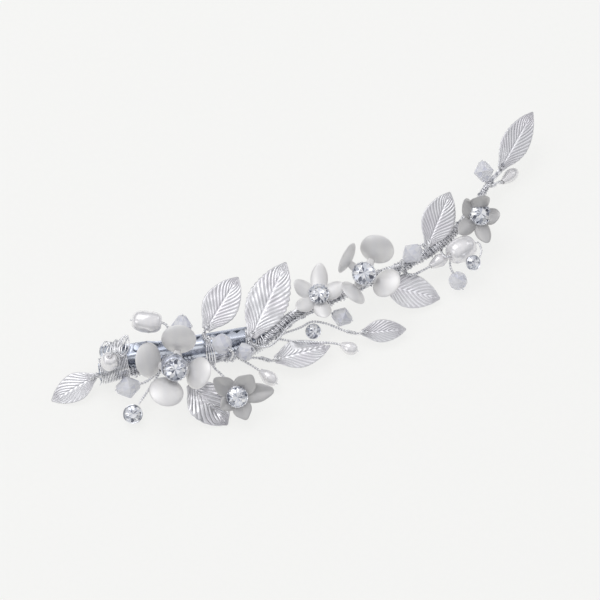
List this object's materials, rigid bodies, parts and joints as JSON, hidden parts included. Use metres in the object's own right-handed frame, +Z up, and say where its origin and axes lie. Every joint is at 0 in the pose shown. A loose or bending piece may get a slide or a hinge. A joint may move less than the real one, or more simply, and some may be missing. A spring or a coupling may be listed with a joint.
{
  "type": "decorated hair clip",
  "caption": "Sprung alligator hair clip with a wired spray of embossed leaves, enamelled flowers, rhinestones, crystals and pearls along a curved stem.",
  "frame": {"origin": "centre of the bounding box in plan, on the surface the clip lies on", "axes": "+X from the hinge end of the clip to the free end of the spray, +Y from the toothed arm towards the smooth arm, +Z up, along the hinge pin, away from the surface"},
  "size_m": [0.1456, 0.0748, 0.0168],
  "materials": {
    "clip_steel": "polished nickel-plated spring steel",
    "silver_wire": "bright silver-plated wire",
    "leaf_silver": "embossed silver-plated sheet, satin bright",
    "petal_enamel": "pearlised enamel on stamped metal, satin gloss",
    "setting_silver": "bright silver-plated cup",
    "rhinestone": "cut clear glass, foiled back",
    "crystal": "faceted glass with an iridescent coating",
    "pearl": "off-white nacre"
  },
  "bodies": {
    "decorated_arm": {"binding_wire": "silver_wire", "clip_front_arm": "clip_steel", "crystal_1": "crystal", "crystal_2": "crystal", "crystal_3": "crystal", "crystal_4": "crystal", "crystal_5": "crystal", "crystal_6": "crystal", "crystal_7": "crystal", "crystal_8": "crystal", "drop_1": "rhinestone", "drop_2": "rhinestone", "drop_3": "rhinestone", "flower_1_petals": "petal_enamel", "flower_1_setting": "setting_silver", "flower_1_stone": "rhinestone", "flower_2_petals": "petal_enamel", "flower_2_setting": "setting_silver", "flower_2_stone": "rhinestone", "flower_3_petals": "petal_enamel", "flower_3_setting": "setting_silver", "flower_3_stone": "rhinestone", "flower_4_petals": "petal_enamel", "flower_4_setting": "setting_silver", "flower_4_stone": "rhinestone", "flower_5_petals": "petal_enamel", "flower_5_setting": "setting_silver", "flower_5_stone": "rhinestone", "hinge_pin": "clip_steel", "leaf_1": "leaf_silver", "leaf_2": "leaf_silver", "leaf_3": "leaf_silver", "leaf_4": "leaf_silver", "leaf_5": "leaf_silver", "leaf_6": "leaf_silver", "leaf_7": "leaf_silver", "leaf_8": "leaf_silver", "leaf_9": "leaf_silver", "long_pearl": "pearl", "pearl_1": "pearl", "pearl_2": "pearl", "pearl_3": "pearl", "pearl_4": "pearl", "sprig_wire_a": "silver_wire", "sprig_wire_b": "silver_wire", "sprig_wire_c": "silver_wire", "sprig_wire_d": "silver_wire", "sprig_wire_e": "silver_wire", "sprig_wire_f": "silver_wire", "sprig_wire_g": "silver_wire", "sprig_wire_h": "silver_wire", "sprig_wire_i": "silver_wire", "sprig_wire_j": "silver_wire", "sprig_wire_k": "silver_wire", "spring_coil": "clip_steel", "stem_core": "silver_wire", "teardrop_1": "pearl", "teardrop_2": "pearl"},
    "smooth_arm": {"clip_back_arm": "clip_steel", "spring_leg": "clip_steel"}
  },
  "joints": [
    {"name": "jaw_hinge", "type": "hinge", "parent": "decorated_arm", "child": "smooth_arm", "pos_m": [-0.04809, -0.0145, 0.005], "axis": [0, 0, 1], "range_deg": [0, 18], "stiffness_Nm_per_rad": 0.06, "springref_deg": -57.3}
  ]
}
